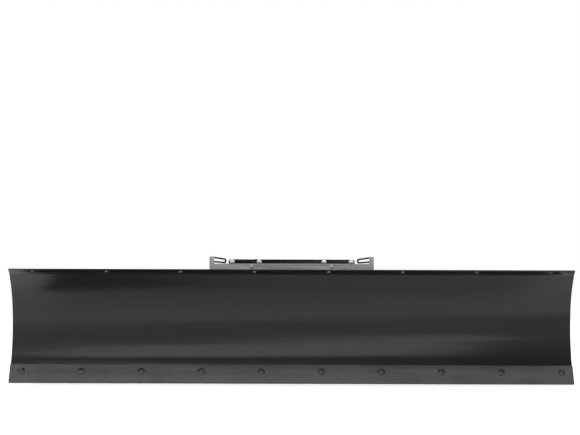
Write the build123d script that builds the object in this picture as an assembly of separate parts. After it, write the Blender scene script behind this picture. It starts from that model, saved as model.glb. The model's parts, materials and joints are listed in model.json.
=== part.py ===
from build123d import *
import os
from math import cos, radians, sin, sqrt, tan

# Trip-edge plow blade for an all-terrain or side-by-side vehicle.
# Millimetres. +Y points back to the vehicle, +Z is up, and +X is to the right of someone who
# stands in front and faces the hollow side. Left and right in the names are that person's.
# While it is drawn, Y = 0 is the front of the wear bar's lower edge and Z = 0 is the ground.
# save() then moves every piece so that the origin is the middle of the footprint.

# --- blade ---------------------------------------------------------------------------------
blade_width = 1828.8
sheet = 3.0                   # moldboard thickness
hollow_depth = 85.0           # deepest point of the moldboard, behind the cutting edge
hollow_height = 200.0         # its height above the ground
upper_radius = 185.0
upper_sweep = 40.0            # degrees of the upper curve
straight_length = 44.6        # flat strip between the upper curve and the lip
lip_width = 27.0
lip_rise = 34.0               # degrees above horizontal
bend_radius = 3.0
lip_hole = 12.0
lip_hole_count = 8
lip_hole_inset = 76.2
lip_hole_back = 12.5          # from the lip's front edge

bar_height = 65.0
bar_thickness = 9.5
bar_rake = 33.7               # degrees from vertical, top edge back
flange_low = 22.0             # flat foot of the moldboard, measured up the bar
flange_high = 90.0
backing_low = 26.0
backing_width = 46.0
backing_thickness = 6.0
bar_bolt = 10.0
bar_bolt_count = 10
bar_bolt_inset = 38.1
bar_bolt_up = 39.0
bolt_clearance = 0.4
square_clearance = 0.2

rib = 8.0
light_rib = 6.0
rail = 25.0                   # square tube behind the flat strip
rail_wall = 2.0
rail_along = 12.0             # its middle, up the flat strip
end_rib_inset = 12.0
rib_reach = 46.0              # depth of a light rib behind the sheet

# --- trip hinge, stops and springs ---------------------------------------------------------
hinge_back = 62.0             # from the rear of the moldboard's deepest point
hinge_height = 95.0
hinge_pin = 20.0
hinge_eye = 24.0              # outer radius of the rib around the pin
hinge_boss = 40.0
frame_half_width = 268.0      # middle of a tower plate
clevis_gap = 28.0
side_play = 0.2
running_gap = 0.075           # radial
stop_height = 255.0
stop_gap = 0.3
spring_offset = 152.0
lug_back = 42.0
lug_height = 200.0
lug_pin = 12.0
lug_eye = 14.0
lug_gap = 28.0
spring_wire = 8.0
spring_outside = 42.0
top_loop = 7.5                # inner radius of the hook on the shaft
bottom_loop = 10.0            # inner radius of the hook on the lug bolt
hook_reach = 40.0             # from a loop's middle to the first coil

# --- swing frame ---------------------------------------------------------------------------
tower_plate = 8.0
tower_back = 52.0             # front edge of a tower, behind the moldboard
cross_plate = 5.0
cross_height = 40.0
cross_above_lip = 14.4
ear_width = 16.0
ear_rise = 24.0
tower_rear = 330.0
shaft = 14.0
shaft_back = 55.0             # behind the cross plate
bracket_reach = 32.0          # from a spring's middle to a shaft bracket
bracket_plate = 6.0
spring_bar_half = 203.0
spring_bar_thickness = 8.0
spring_bar_rise = 14.0        # above the cross plate
spring_bar_height = 39.0
bar_screw_offset = 132.0
bracket_bolt_inner = 107.0
bracket_bolt_outer = 197.0
bracket_bolt = 10.0

kingpin_back = 130.0          # behind the moldboard's deepest point
kingpin = 24.0
kingpin_boss = 50.0
boss_height = 30.0
quadrant = 8.0
quadrant_height = 100.0
quadrant_radius = 175.0
index_radius = 150.0
index_step = 10.0             # degrees
index_limit = 30

# --- push head -----------------------------------------------------------------------------
jaw = 10.0
jaw_half_width = 50.0
thrust_gap = 2.0
thrust_play = 0.15
coupler = 10.0
coupler_width = 200.0
coupler_height = 120.0
coupler_back = 275.0          # rear face, behind the kingpin
coupler_bolt_x = 150.0
coupler_bolt_z = 70.0
coupler_hole = 13.0
lock_pin = 16.0
lock_pin_play = 0.3
lock_travel = 29.0
lock_bracket_height = 76.0

# --- skid shoes ----------------------------------------------------------------------------
skid_offset = 560.0
skid_back = 82.0              # behind the rear of the moldboard
skid_stem = 20.0
skid_tube = 38.0
skid_tube_play = 0.5
skid_tube_low = 78.0
skid_tube_length = 60.0
skid_nut = 16.0
skid_dish = 125.0
skid_dish_rise = 11.0

# --- shared by several pieces --------------------------------------------------------------
overcut = 1.0                 # how far a cutting shape passes the face it cuts
beyond = 1000.0               # larger than any piece, for shapes that only trim
thread_end = 4.0              # of a bolt, past its nut
from_edge = (Align.CENTER, Align.MIN)  # places a rectangle by the middle of its first edge

# --- places worked out from the sizes above ------------------------------------------------
half_width = blade_width / 2
rake = radians(bar_rake)
sheet_rear = hollow_depth + sheet
lip_angle = radians(lip_rise)
upper_turn = radians(upper_sweep)


def bar_point(along, behind):
    """A point in the side view: up the wear bar, and behind the bar's rear face."""
    heel = bar_thickness * cos(rake)
    return (heel + along * sin(rake) + behind * cos(rake), along * cos(rake) - behind * sin(rake))


flange_top = bar_point(flange_high, 0)
flange_in = hollow_depth - flange_top[0]
flange_drop = hollow_height - flange_top[1]
lower_radius = (flange_in**2 + flange_drop**2) / (2 * flange_in)
lower_centre = (hollow_depth - lower_radius, hollow_height)
upper_centre = (hollow_depth - upper_radius, hollow_height)
straight_low = (
    upper_centre[0] + upper_radius * cos(upper_turn),
    upper_centre[1] + upper_radius * sin(upper_turn),
)
lip_root = (
    straight_low[0] - straight_length * sin(upper_turn),
    straight_low[1] + straight_length * cos(upper_turn),
)
lip_front = (lip_root[0] - lip_width * cos(lip_angle), lip_root[1] + lip_width * sin(lip_angle))
lip_top = lip_front[1] + sheet * cos(lip_angle)

hinge = (sheet_rear + hinge_back, hinge_height)
lug = (sheet_rear + lug_back, lug_height)
tower_front = sheet_rear + tower_back
cross_top = lip_top + cross_above_lip
spring_top = (tower_front + shaft_back, cross_top)
kingpin_y = hollow_depth + kingpin_back
coupler_rear = kingpin_y + coupler_back
quadrant_top = quadrant_height + quadrant
boss_low = quadrant_height + quadrant / 2 - boss_height / 2
boss_top = boss_low + boss_height
jaw_low = boss_low - thrust_gap - jaw
jaw_high = boss_top + thrust_gap
lock_y = kingpin_y + index_radius
skid_y = sheet_rear + skid_back
frame_middle = (lip_front[0] + coupler_rear) / 2

spring_run = Vector(0, lug[0] - spring_top[0], lug[1] - spring_top[1])
spring_way = spring_run.normalized()
slack = bottom_loop - lug_pin / 2 - stop_gap
hook_low = Vector(0, *lug) - spring_way * slack


# --- small tools ---------------------------------------------------------------------------
def plate(outline, x, thickness):
    """A flat plate across X from an outline in the side view."""
    return extrude(Plane.YZ.offset(x - thickness / 2) * outline, amount=thickness, dir=(1, 0, 0))


def deck(outline, low, thickness):
    """A level plate from an outline in the plan view."""
    return extrude(Plane.XY.offset(low) * outline, amount=thickness, dir=(0, 0, 1))


def rod(start, end, radius):
    """A round bar between two points."""
    axis = Vector(*end) - Vector(*start)
    return extrude(Plane(start, z_dir=axis) * Circle(radius), amount=axis.length)


def tube(start, end, outer, inner):
    return rod(start, end, outer) - rod(start, end, inner)


nut_face = 0.475              # radius of a nut's flat end face, as a share of its width
nut_slope = 30.0              # degrees of the turned corners


def hexagon(start, end, across_flats):
    """A hexagonal prism with the turned corners of a nut or a bolt head."""
    axis = Vector(*end) - Vector(*start)
    corner = across_flats / sqrt(3)
    face = nut_face * across_flats
    cut = (corner - face) * tan(radians(nut_slope))
    blank = Polygon(
        (0, 0), (face, 0), (corner, cut),
        (corner, axis.length - cut), (face, axis.length), (0, axis.length),
        align=None,
    )
    turned = Plane(start, z_dir=axis) * revolve(Plane.XZ * blank, Axis.Z)
    sides = RegularPolygon(across_flats / 2, 6, major_radius=False)
    return turned & extrude(Plane(start, z_dir=axis) * sides, amount=axis.length)


def nut(start, end, across_flats, bore):
    return hexagon(start, end, across_flats) - rod(start, end, bore)


def disc(place, radius):
    return Pos(*place) * Circle(radius)


def hull(*discs):
    """The outline stretched round several circles."""
    return make_hull(ShapeList([edge for one in discs for edge in one.edges()]))


def both_sides(make, *offsets):
    """The piece that make(x) gives, at each offset on both sides of the blade."""
    return [make(side * offset) for offset in offsets for side in (-1, 1)]


def save(name, *pieces):
    """Write the pieces of one node, moved to the middle of the footprint."""
    moved = [Pos(0, -frame_middle, 0) * piece for piece in pieces]
    solids = [solid for piece in moved for solid in piece.solids()]
    shape = solids[0] if len(solids) == 1 else Compound(solids)
    export_step(shape, f"parts/{name}.step")


os.makedirs("parts", exist_ok=True)


# --- moldboard -----------------------------------------------------------------------------
def skin(depth):
    """The side-view line of the moldboard at a depth behind its front surface, foot to lip."""
    foot = bar_point(flange_low, depth)
    radius = lower_radius + depth
    heel = Vector(*bar_point(0, depth))
    up = Vector(sin(rake), cos(rake))
    to_centre = Vector(*lower_centre) - heel
    reach = to_centre.dot(up)
    meet = heel + up * (reach + sqrt(radius**2 - to_centre.dot(to_centre) + reach**2))
    deepest = (hollow_depth + depth, hollow_height)
    lower_mid_y = lower_centre[0] + sqrt(radius**2 - ((meet.Y - hollow_height) / 2) ** 2)
    lower_mid = (lower_mid_y, (meet.Y + hollow_height) / 2)
    outer = upper_radius + depth
    half_turn = upper_turn / 2
    upper_mid = (upper_centre[0] + outer * cos(half_turn), hollow_height + outer * sin(half_turn))
    upper_end = (upper_centre[0] + outer * cos(upper_turn), hollow_height + outer * sin(upper_turn))
    strip_side = Vector(cos(upper_turn), sin(upper_turn))
    lip_side = Vector(sin(lip_angle), cos(lip_angle))
    root = Vector(*lip_root) + (strip_side + lip_side) * (depth / (1 + strip_side.dot(lip_side)))
    tip = Vector(*lip_front) + lip_side * depth
    return [
        Line(foot, (meet.X, meet.Y)),
        ThreePointArc((meet.X, meet.Y), lower_mid, deepest),
        ThreePointArc(deepest, upper_mid, upper_end),
        Line(upper_end, (root.X, root.Y)),
        Line((root.X, root.Y), (tip.X, tip.Y)),
    ]


front_line = skin(0)
rear_line = skin(sheet)
ends = [Line(front_line[0] @ 0, rear_line[0] @ 0), Line(front_line[-1] @ 1, rear_line[-1] @ 1)]
sheet_face = make_face(front_line + rear_line + ends)
inner_corner = sheet_face.vertices().sort_by_distance(front_line[-1] @ 0)[0]
sheet_face = fillet(inner_corner, bend_radius)
outer_corner = sheet_face.vertices().sort_by_distance(rear_line[-1] @ 0)[0]
sheet_face = fillet(outer_corner, bend_radius + sheet)

bar_bolt_pitch = (blade_width - 2 * bar_bolt_inset) / (bar_bolt_count - 1)
bar_bolt_places = [bar_bolt_inset - half_width + i * bar_bolt_pitch for i in range(bar_bolt_count)]
lip_hole_pitch = (blade_width - 2 * lip_hole_inset) / (lip_hole_count - 1)
lip_hole_places = [lip_hole_inset - half_width + i * lip_hole_pitch for i in range(lip_hole_count)]


def bar_plane(x):
    """The plane of the joint between bar and moldboard at one bolt, its Z pointing back."""
    return Plane((x, *bar_point(bar_bolt_up, 0)), x_dir=(1, 0, 0), z_dir=(0, cos(rake), -sin(rake)))


def through_bar(x, radius, low, high):
    """A drill across the joint at one bolt, between two depths behind the bar."""
    return bar_plane(x) * Pos(0, 0, low) * extrude(Circle(radius), amount=high - low)


def lip_drill(x):
    middle = Vector(*lip_front) + Vector(cos(lip_angle), -sin(lip_angle)) * lip_hole_back
    place = Plane((x, middle.X, middle.Y), z_dir=(0, sin(lip_angle), cos(lip_angle)))
    return place * Pos(0, 0, -sheet) * extrude(Circle(lip_hole / 2), amount=3 * sheet)


stack = sheet + backing_thickness
hole_radius = bar_bolt / 2 + bolt_clearance
bolt_holes = [through_bar(x, hole_radius, -overcut, stack + overcut) for x in bar_bolt_places]
moldboard = plate(sheet_face, 0, blade_width)
moldboard = moldboard - bolt_holes - [lip_drill(x) for x in lip_hole_places]
save("moldboard", moldboard)


# --- wear bar and its bolts ----------------------------------------------------------------
def bar_strip(low, high, near, far):
    """The side view of a flat bar that lies along the wear bar."""
    corners = [bar_point(low, near), bar_point(high, near), bar_point(high, far), bar_point(low, far)]
    return Polygon(*corners, align=None)


neck = bar_bolt
neck_length = 6.0
washer = 2.5
nut_height = 8.0
washer_radius = 10.0
nut_flats = 16.0
head_radius = 12.3
head_height = 5.4


def square_hole(x):
    side = neck + 2 * square_clearance
    drill = extrude(Rectangle(side, side), amount=bar_thickness + 2 * overcut)
    return bar_plane(x) * Pos(0, 0, -bar_thickness - overcut) * drill


def carriage_bolt(x):
    ball = (head_radius**2 + head_height**2) / (2 * head_height)
    cap = Pos(0, 0, ball - head_height) * Sphere(ball)
    cap = cap & Pos(0, 0, -head_height / 2) * Box(4 * head_radius, 4 * head_radius, head_height)
    body = cap + extrude(Rectangle(neck, neck), amount=neck_length)
    length = bar_thickness + stack + washer + nut_height + thread_end
    body = body + extrude(Circle(bar_bolt / 2), amount=length)
    return bar_plane(x) * Pos(0, 0, -bar_thickness) * body


def bar_washer(x):
    ring = extrude(Circle(washer_radius) - Circle(hole_radius), amount=washer)
    return bar_plane(x) * Pos(0, 0, stack) * ring


def bar_nut(x):
    piece = nut((0, 0, 0), (0, 0, nut_height), nut_flats, bar_bolt / 2)
    return bar_plane(x) * Pos(0, 0, stack + washer) * piece


wear_bar = plate(bar_strip(0, bar_height, -bar_thickness, 0), 0, blade_width)
save("wear_bar", wear_bar - [square_hole(x) for x in bar_bolt_places])
backing_high = backing_low + backing_width
backing = plate(bar_strip(backing_low, backing_high, sheet, stack), 0, blade_width)
save("backing_bar", backing - bolt_holes)
save("wear_bar_bolts", *[carriage_bolt(x) for x in bar_bolt_places])
save("wear_bar_washers", *[bar_washer(x) for x in bar_bolt_places])
save("wear_bar_nuts", *[bar_nut(x) for x in bar_bolt_places])

# --- top rail ------------------------------------------------------------------------------
rail_frame = Location((straight_low[0], straight_low[1], 0), (0, 0, upper_sweep))
rail_middle = Pos(sheet + rail / 2, rail_along + rail / 2, 0)
rail_outline = RectangleRounded(rail, rail, 2 * rail_wall)
rail_inside = RectangleRounded(rail - 2 * rail_wall, rail - 2 * rail_wall, rail_wall)
rail_face = rail_frame * rail_middle * (rail_outline - rail_inside)
save("top_rail", plate(rail_face, 0, blade_width - 2 * end_rib_inset))
cap_face = rail_frame * rail_middle * rail_outline
cap_plug = rail_frame * rail_middle * rail_inside
cap_thickness = 3.0
cap_depth = 12.0


def rail_cap(x):
    side = 1 if x > 0 else -1
    plug = plate(cap_plug, x - side * cap_depth / 2, cap_depth)
    return plug + plate(cap_face, x + side * cap_thickness / 2, cap_thickness)


save("rail_end_caps", *both_sides(rail_cap, half_width - end_rib_inset))

# --- ribs ----------------------------------------------------------------------------------
# Every rib is an outline stretched round a few circles, cut back to the sheet, rail and bars.
rib_foot = 4.0                # radius of the circle at the foot
rib_foot_back = 6.0           # its middle, behind the backing bar
rib_tip = 3.0                 # radius of the circle under the rail
rib_tip_share = 0.6           # its middle, as a share of the rail's depth
belly = 20.0                  # radius at the deepest part of a light rib
belly_rise = 10.0             # its middle, above the moldboard's deepest point
heel_round = 14.0             # radius low on a light rib
heel_back = 5.0
heel_rise = 20.0              # above the top of the moldboard's foot
stop_arm = 12.0               # radius of a pivot rib where it carries the stop plate
stop_arm_ahead = 30.0         # its middle, ahead of the tower
window_round = 10.0
window_corners = ((28.0, 20.0), (24.0, -35.0), (38.0, -50.0))  # from the rear's deepest point
lug_foot = 6.0                # radius at each end of a lug's foot
lug_foot_in = 12.0            # sunk in behind the hollow, cut away with the sheet
lug_foot_rise = 40.0
lug_foot_drop = 50.0

far_front = -2 * hollow_depth
behind_sheet = Polyline(rear_line[-1] @ 0, (far_front, lip_top), (far_front, 0), rear_line[0] @ 0)
rib_cut = make_face(rear_line[:-1] + [behind_sheet])
rail_seat = Rectangle(beyond, beyond, align=from_edge)
rib_cut = rib_cut + rail_frame * Pos(0, rail_along, 0) * rail_seat
rib_cut = rib_cut + bar_strip(-bar_height, backing_high, -bar_height, stack)
foot_disc = disc(bar_point(backing_high, stack + rib_foot_back), rib_foot)
tip_disc = rail_frame * Pos(sheet + rail * rib_tip_share, rail_along) * Circle(rib_tip)

belly_disc = disc((sheet_rear + rib_reach - belly, hollow_height + belly_rise), belly)
heel_disc = disc((sheet_rear + heel_back, flange_top[1] + heel_rise), heel_round)
light_face = hull(belly_disc, heel_disc, foot_disc, tip_disc) - rib_cut
end_rib_offset = half_width - end_rib_inset - light_rib
save("end_ribs", *both_sides(lambda x: plate(light_face, x, light_rib), end_rib_offset))

stop_disc = disc((tower_front - stop_arm_ahead, stop_height), stop_arm)
pivot_face = hull(disc(hinge, hinge_eye), foot_disc, stop_disc, tip_disc) - rib_cut
pivot_face = pivot_face - disc(hinge, hinge_pin / 2)
window_discs = [
    disc((sheet_rear + back, hollow_height + rise), window_round) for back, rise in window_corners
]
pivot_face = pivot_face - hull(*window_discs)
clevis = clevis_gap / 2 + rib / 2
pivot_places = (frame_half_width - clevis, frame_half_width + clevis)
save("pivot_ribs", *both_sides(lambda x: plate(pivot_face, x, rib), *pivot_places))

skid_half_gap = skid_tube / 2 + light_rib / 2
skid_disc = disc((skid_y, skid_tube_low + skid_tube_length / 2), skid_tube_length / 2)
skid_face = hull(skid_disc, foot_disc, tip_disc) - rib_cut
skid_places = (skid_offset - skid_half_gap, skid_offset + skid_half_gap)
save("skid_ribs", *both_sides(lambda x: plate(skid_face, x, light_rib), *skid_places))

lug_face = hull(
    disc(lug, lug_eye),
    disc((hollow_depth - lug_foot_in, lug_height + lug_foot_rise), lug_foot),
    disc((hollow_depth - lug_foot_in, lug_height - lug_foot_drop), lug_foot),
)
lug_face = lug_face - rib_cut - disc(lug, lug_pin / 2)
lug_places = [spring_offset - lug_gap / 2 - light_rib / 2, spring_offset + lug_gap / 2 + light_rib / 2]
save("spring_lugs", *both_sides(lambda x: plate(lug_face, x, light_rib), *lug_places))

# --- pins and bolts on the blade -----------------------------------------------------------
clevis_out = clevis_gap / 2 + rib
pin_head = 6.0
pin_head_share = 0.75         # radius of the head, as a share of the pin's diameter
pin_tail = 14.0
clip_wire = 1.8               # radius
clip_play = 0.2
clip_ring = 5.0
clip_neck = 3.0               # from the pin to the ring


def hinge_pin_at(x):
    side = 1 if x > 0 else -1
    inner = x - side * (clevis_out + pin_tail)
    outer = x + side * clevis_out
    body = rod((inner, *hinge), (outer, *hinge), hinge_pin / 2)
    head_end = (outer + side * pin_head, *hinge)
    body = body + rod((outer, *hinge), head_end, hinge_pin * pin_head_share)
    clip = x - side * (clevis_out + pin_tail / 2)
    low = (clip, hinge[0], hinge[1] - hinge_pin)
    high = (clip, hinge[0], hinge[1] + hinge_pin)
    return body - rod(low, high, clip_wire + clip_play)


def hinge_clip(x):
    side = 1 if x > 0 else -1
    clip = x - side * (clevis_out + pin_tail / 2)
    low = (clip, hinge[0], hinge[1] - hinge_pin)
    high = (clip, hinge[0], hinge[1] + hinge_pin)
    ring_height = hinge[1] + hinge_pin + 2 * clip_wire + clip_neck
    ring_place = Pos(clip, hinge[0], ring_height) * Rot(0, 90, 0)
    return rod(low, high, clip_wire) + ring_place * Torus(clip_ring, clip_wire)


save("hinge_pins", *both_sides(hinge_pin_at, frame_half_width))
save("hinge_pin_clips", *both_sides(hinge_clip, frame_half_width))

lug_out = lug_gap / 2 + light_rib
lug_head = 7.5
lug_flats = 18.0
lug_nut = 10.0


def lug_bolt(x):
    start = (x - lug_out, *lug)
    shank_end = (x + lug_out + lug_nut + thread_end, *lug)
    head = hexagon((x - lug_out - lug_head, *lug), start, lug_flats)
    return rod(start, shank_end, lug_pin / 2) + head


def lug_nut_at(x):
    return nut((x + lug_out, *lug), (x + lug_out + lug_nut, *lug), lug_flats, lug_pin / 2)


save("spring_lug_bolts", *both_sides(lug_bolt, spring_offset))
save("spring_lug_nuts", *both_sides(lug_nut_at, spring_offset))

stop_plate = 6.0
stop_plate_height = 40.0
bumper_radius = 12.0
bumper_length = 18.0
stop_face = tower_front - bumper_length - stop_gap
stop_outline = Pos(stop_face - stop_plate / 2, stop_height) * Rectangle(stop_plate, stop_plate_height)
save("stop_plates", *both_sides(lambda x: plate(stop_outline, x, clevis_gap), frame_half_width))

# --- tower frame ---------------------------------------------------------------------------
tower_foot = 10.0             # below the quadrant plate
tower_foot_start = 10.0       # behind the hinge
tower_tail = 18.0             # above the quadrant plate
shoulder_back = 34.0          # from the spring shaft to the tower's rear shoulder
shoulder_drop = 16.0          # below the top of the cross plate
peak_back = 18.0              # from the spring shaft to the rear corner of the top
ear_over_tower = 4.0          # how far an ear stands above its tower
eye_margin = 2.0              # of a tower's eye, over the rib's
tower_window_front = 34.0     # width of the upright in front of the window
tower_window_low = 42.0       # above the quadrant plate
tower_window_high = 66.0      # below the top of the cross plate
tower_window_lean = 4.0       # drop of the window's top edge, front to back
tower_window_back = 14.0      # behind the spring shaft
tower_window_rear = 62.0      # ahead of the tower's rear edge
tower_window_round = 14.0

tower_top = cross_top + ear_rise - ear_over_tower
tower_outline = Polygon(
    (hinge[0] + tower_foot_start, quadrant_height - tower_foot),
    (tower_rear, quadrant_height - tower_foot),
    (tower_rear, quadrant_top + tower_tail),
    (spring_top[0] + shoulder_back, cross_top - shoulder_drop),
    (spring_top[0] + peak_back, tower_top),
    (tower_front, tower_top),
    (tower_front, hinge_height),
    align=None,
)
tower_face = tower_outline + disc(hinge, hinge_eye + eye_margin)
tower_face = tower_face - disc(hinge, hinge_boss / 2)
window_top = cross_top - tower_window_high
tower_window = Polygon(
    (tower_front + tower_window_front, quadrant_top + tower_window_low),
    (tower_front + tower_window_front, window_top),
    (spring_top[0] + tower_window_back, window_top - tower_window_lean),
    (tower_rear - tower_window_rear, quadrant_top + tower_window_low),
    align=None,
)
tower_window = fillet(tower_window.vertices(), tower_window_round)
tower_face = tower_face - tower_window
save("tower_plates", *both_sides(lambda x: plate(tower_face, x, tower_plate), frame_half_width))

boss_half = clevis_gap / 2 - side_play
pin_bore = hinge_pin / 2 + running_gap


def hinge_boss_at(x):
    return tube((x - boss_half, *hinge), (x + boss_half, *hinge), hinge_boss / 2, pin_bore)


save("hinge_bosses", *both_sides(hinge_boss_at, frame_half_width))

cross_half = frame_half_width + tower_plate / 2
cross_outline = Pos(0, cross_top - cross_height / 2) * Rectangle(2 * cross_half, cross_height)
ear_corner = 5.0
ear_x = cross_half - ear_width / 2
ear_low = cross_top - cross_height
ear_high = cross_top + ear_rise
ear_outline = RectangleRounded(ear_width, ear_high - ear_low, ear_corner)
for side in (-1, 1):
    cross_outline = cross_outline + Pos(side * ear_x, (ear_high + ear_low) / 2) * ear_outline
cross_piece = extrude(Plane.XZ.offset(-tower_front) * cross_outline, amount=cross_plate)
screw = 8.0
screw_play = 0.2
screw_drop = 10.0             # below the top of the cross plate
screw_z = cross_top - screw_drop
cross_rear = tower_front + spring_bar_thickness


def screw_hole(x):
    start = (x, tower_front - 2 * cross_plate, screw_z)
    return rod(start, (x, tower_front + 3 * cross_plate, screw_z), screw / 2 + screw_play)


screw_holes = both_sides(screw_hole, bar_screw_offset)
save("cross_plate", cross_piece - screw_holes)

# --- spring bar, brackets and shaft --------------------------------------------------------
bar_top = cross_top + spring_bar_rise
bar_low = bar_top - spring_bar_height
bracket_drop = 9.0            # from the top of the spring bar to its bolts
bracket_z = bar_top - bracket_drop
bracket_bolts = (bracket_bolt_inner, bracket_bolt_outer)


def bracket_hole(x):
    start = (x, tower_front - overcut, bracket_z)
    end = (x, cross_rear + 2 * bracket_plate, bracket_z)
    return rod(start, end, bracket_bolt / 2 + bolt_clearance)


bar_block = Pos(0, tower_front + spring_bar_thickness / 2, (bar_top + bar_low) / 2)
bar_block = bar_block * Box(2 * spring_bar_half, spring_bar_thickness, spring_bar_height)
bar_block = bar_block - both_sides(bracket_hole, *bracket_bolts) - screw_holes
save("spring_bar", bar_block)

screw_nut = 6.5
screw_nut_flats = 13.0
screw_ball = 9.0              # radius of the domed head
screw_head = 4.4
screw_end = 3.0               # past the nut


def bar_screw(x):
    front = tower_front - cross_plate
    ball = Pos(x, front + screw_ball - screw_head, screw_z) * Sphere(screw_ball)
    head = ball & Pos(x, front - screw_ball, screw_z) * Box(*[2 * screw_ball] * 3)
    return head + rod((x, front, screw_z), (x, cross_rear + screw_nut + screw_end, screw_z), screw / 2)


def bar_screw_nut(x):
    end = (x, cross_rear + screw_nut, screw_z)
    return nut((x, cross_rear, screw_z), end, screw_nut_flats, screw / 2)


save("spring_bar_screws", *both_sides(bar_screw, bar_screw_offset))
save("spring_bar_nuts", *both_sides(bar_screw_nut, bar_screw_offset))

shaft_eye = spring_bar_rise
cheek_round = 8.0             # corners of a cheek at the spring bar
foot_past_bolt = 12.0         # from the bolt's middle to the foot's end
foot_margin = 2.0             # between the foot and the spring bar's long edges


def shaft_bracket(bolt_x, plate_x):
    """An angle: a foot on the spring bar and a cheek that carries the shaft."""
    cheek_face = hull(
        disc(spring_top, shaft_eye),
        disc((cross_rear + cheek_round, bar_top - cheek_round), cheek_round),
        disc((cross_rear + cheek_round, bar_low + cheek_round), cheek_round),
    )
    cheek_face = cheek_face - disc(spring_top, shaft / 2)
    front_trim = Pos(cross_rear / 2, cross_top) * Rectangle(cross_rear, beyond)
    cheek = plate(cheek_face - front_trim, plate_x, bracket_plate)
    inward = 1 if plate_x > bolt_x else -1
    near = plate_x + inward * bracket_plate / 2
    far = bolt_x - inward * foot_past_bolt
    foot_middle = Pos((near + far) / 2, cross_rear + bracket_plate / 2, (bar_top + bar_low) / 2)
    foot = foot_middle * Box(abs(near - far), bracket_plate, spring_bar_height - 2 * foot_margin)
    return cheek + foot - bracket_hole(bolt_x)


bracket_pairs = [
    (side * bolt_x, side * (spring_offset + turn * bracket_reach))
    for side in (-1, 1)
    for bolt_x, turn in ((bracket_bolt_inner, -1), (bracket_bolt_outer, 1))
]
save("shaft_brackets", *[shaft_bracket(bolt_x, plate_x) for bolt_x, plate_x in bracket_pairs])

bracket_head = 6.4
bracket_nut = 8.0
bracket_flats = 16.0
bracket_end = 2.0             # of a bolt, past its nut
bracket_back = cross_rear + bracket_plate


def bracket_bolt_at(x):
    """A bolt whose head is ground flat underneath, where it stands on the cross plate."""
    head_end = (x, tower_front, bracket_z)
    head = hexagon((x, tower_front - bracket_head, bracket_z), head_end, bracket_flats)
    under = Box(2 * bracket_flats, 4 * bracket_head, bracket_flats)
    head = head - Pos(x, tower_front - bracket_head, cross_top - bracket_flats / 2) * under
    shank_end = (x, bracket_back + bracket_nut + bracket_end, bracket_z)
    return head + rod(head_end, shank_end, bracket_bolt / 2)


def bracket_nut_at(x):
    start = (x, bracket_back, bracket_z)
    return nut(start, (x, bracket_back + bracket_nut, bracket_z), bracket_flats, bracket_bolt / 2)


save("bracket_bolts", *both_sides(bracket_bolt_at, *bracket_bolts))
save("bracket_nuts", *both_sides(bracket_nut_at, *bracket_bolts))

shaft_end = spring_bar_half
save("spring_shaft", rod((-shaft_end, *spring_top), (shaft_end, *spring_top), shaft / 2))
collar_width = 10.0
collar_share = 0.85           # radius, as a share of the shaft's diameter
collar_play = 0.5
collar_start = spring_offset + bracket_reach + bracket_plate / 2


def shaft_collar(x):
    side = 1 if x > 0 else -1
    start = (x + side * collar_play, *spring_top)
    end = (x + side * (collar_play + collar_width), *spring_top)
    return tube(start, end, shaft * collar_share, shaft / 2)


save("shaft_collars", *both_sides(shaft_collar, collar_start))

clip_half = 22.0
clip_band = 3.0               # thickness round the shaft
clip_strap_height = 4.0
clip_strap_rise = 3.0         # above the shaft's middle
clip_face = Pos(*spring_top) * (Circle(shaft / 2 + clip_band) - Circle(shaft / 2))
clip_strap = Rectangle(shaft_back - spring_bar_thickness, clip_strap_height)
clip_strap = Pos((cross_rear + spring_top[0]) / 2, spring_top[1] + clip_strap_rise) * clip_strap
clip_face = clip_face + (clip_strap - disc(spring_top, shaft / 2))
save("centre_clip", plate(clip_face, 0, 2 * clip_half))

loop_wire = 3.0               # radius
loop_reach = 44.0
loop_above = 2.0              # the rod's underside, above the cross plate
loop_height = 14.0            # between the middles of its two legs
loop_ahead = 18.0             # of the spring shaft
loop_bend = 4.0
loop_dip = 3.0                # fall of the lower leg towards the tip
loop_fall = 6.0               # fall of the upper leg
weld_gap = 0.1
tower_inside = frame_half_width - tower_plate / 2


def side_loop(x):
    """A bent rod welded to the inside of a tower plate."""
    side = 1 if x > 0 else -1
    wall = side * (tower_inside - weld_gap)
    tip = side * (tower_inside - loop_reach)
    start = side * (tower_inside - loop_wire * 2)
    low_z = cross_top + loop_wire + loop_above
    high_z = low_z + loop_height
    loop_y = spring_top[0] - loop_ahead
    way = FilletPolyline(
        (wall, loop_y, low_z), (start, loop_y, low_z), (tip, loop_y, low_z - loop_dip),
        (tip, loop_y, high_z - loop_fall), (start, loop_y, high_z), (wall, loop_y, high_z),
        radius=loop_bend,
    )
    section = Plane(way @ 0, z_dir=way % 0) * Circle(loop_wire)
    return sweep(section, path=way)


save("side_loops", *both_sides(side_loop, frame_half_width))

# --- quadrant, boss and gussets ------------------------------------------------------------
fan_ahead = 55.0              # from the kingpin to the plate's front edge
wing_ahead = 25.0             # from the kingpin to the front of the wings at the towers
wing_depth = 110.0
nose_inset = 40.0             # from a tower to the side of the nose
fan = disc((0, kingpin_y), quadrant_radius)
fan_front = Pos(0, kingpin_y - fan_ahead) * Rectangle(2 * beyond, beyond, align=from_edge)
wings = Pos(0, kingpin_y - wing_ahead) * Rectangle(2 * tower_inside, wing_depth, align=from_edge)
nose_width = 2 * (tower_inside - nose_inset)
nose = Pos(0, kingpin_y - fan_ahead) * Rectangle(nose_width, wing_depth, align=from_edge)
quadrant_face = (fan & fan_front) + wings + nose - disc((0, kingpin_y), kingpin_boss / 2)
for angle in range(-index_limit, index_limit + 1, int(index_step)):
    turn = radians(angle)
    place = (index_radius * sin(turn), kingpin_y + index_radius * cos(turn))
    quadrant_face = quadrant_face - disc(place, lock_pin / 2 + lock_pin_play)
save("quadrant_plate", deck(quadrant_face, quadrant_height, quadrant))

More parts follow.
